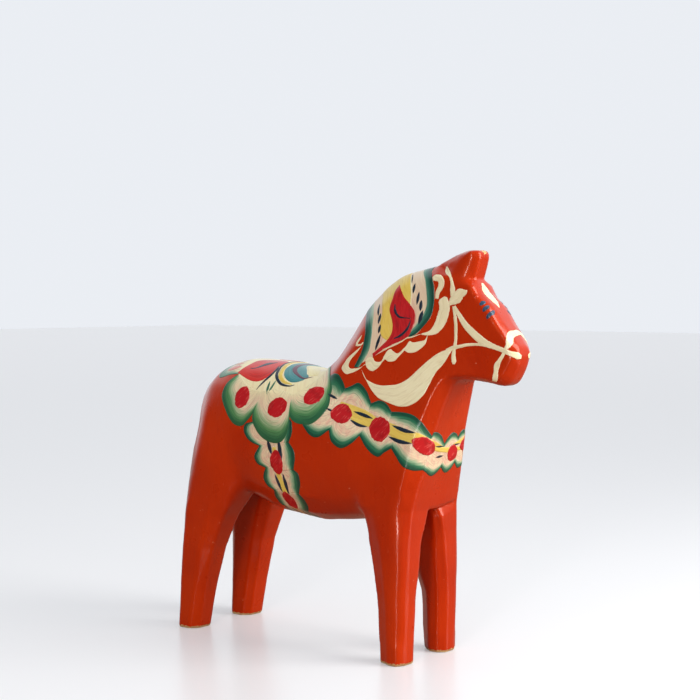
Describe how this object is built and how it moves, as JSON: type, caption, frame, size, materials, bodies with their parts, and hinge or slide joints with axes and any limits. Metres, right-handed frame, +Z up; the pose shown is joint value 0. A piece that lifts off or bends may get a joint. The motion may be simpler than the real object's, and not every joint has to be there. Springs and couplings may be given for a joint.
{
  "type": "carved wooden horse",
  "caption": "Carved and painted wooden folk-art horse standing on four straight legs, with a brush-painted saddle, breast band, girth, bridle and mane.",
  "frame": {"origin": "on the floor, below the middle of the horse's length and width", "axes": "+X the way the horse faces, +Y its left side, +Z up"},
  "size_m": [0.2036, 0.0584, 0.2],
  "materials": {
    "bare_pine": "knife-cut, unpainted",
    "red_enamel": "glossy red-orange oil paint over carved wood, varnished",
    "saddle_green_enamel": "glossy brush-painted green blended into cream, with red ovals",
    "band_green_enamel": "glossy brush-painted dark green blended into cream, yellow and red",
    "girth_green_enamel": "glossy brush-painted dark green blended into cream and red",
    "mane_yellow_enamel": "glossy brush-painted yellow with cream, green and red strokes",
    "cream_enamel": "glossy brush-painted cream",
    "blue_black_enamel": "glossy brush-painted blue-black"
  },
  "bodies": {
    "root": {"carved_pine_body": "bare_pine", "red_ground_coat": "red_enamel", "saddle_paint": "saddle_green_enamel", "breast_band_paint": "band_green_enamel", "girth_band_paint": "girth_green_enamel", "mane_paint": "mane_yellow_enamel", "bridle_paint": "cream_enamel", "forehead_leaf_paint": "cream_enamel", "rein_leaf_paint_right": "cream_enamel", "mane_flourish_paint_right": "cream_enamel", "mane_hook_paint_right": "cream_enamel", "ear_curl_paint_right": "cream_enamel", "ear_leaf_paint_right": "cream_enamel", "ear_stem_paint_right": "cream_enamel", "cheek_comma_paint_right": "cream_enamel", "eye_stroke_upper_paint_right": "blue_black_enamel", "eye_stroke_middle_paint_right": "blue_black_enamel", "eye_stroke_lower_paint_right": "blue_black_enamel", "rein_leaf_paint_left": "cream_enamel", "mane_flourish_paint_left": "cream_enamel", "mane_hook_paint_left": "cream_enamel", "ear_curl_paint_left": "cream_enamel", "ear_leaf_paint_left": "cream_enamel", "ear_stem_paint_left": "cream_enamel", "cheek_comma_paint_left": "cream_enamel", "eye_stroke_upper_paint_left": "blue_black_enamel", "eye_stroke_middle_paint_left": "blue_black_enamel", "eye_stroke_lower_paint_left": "blue_black_enamel"}
  },
  "joints": []
}
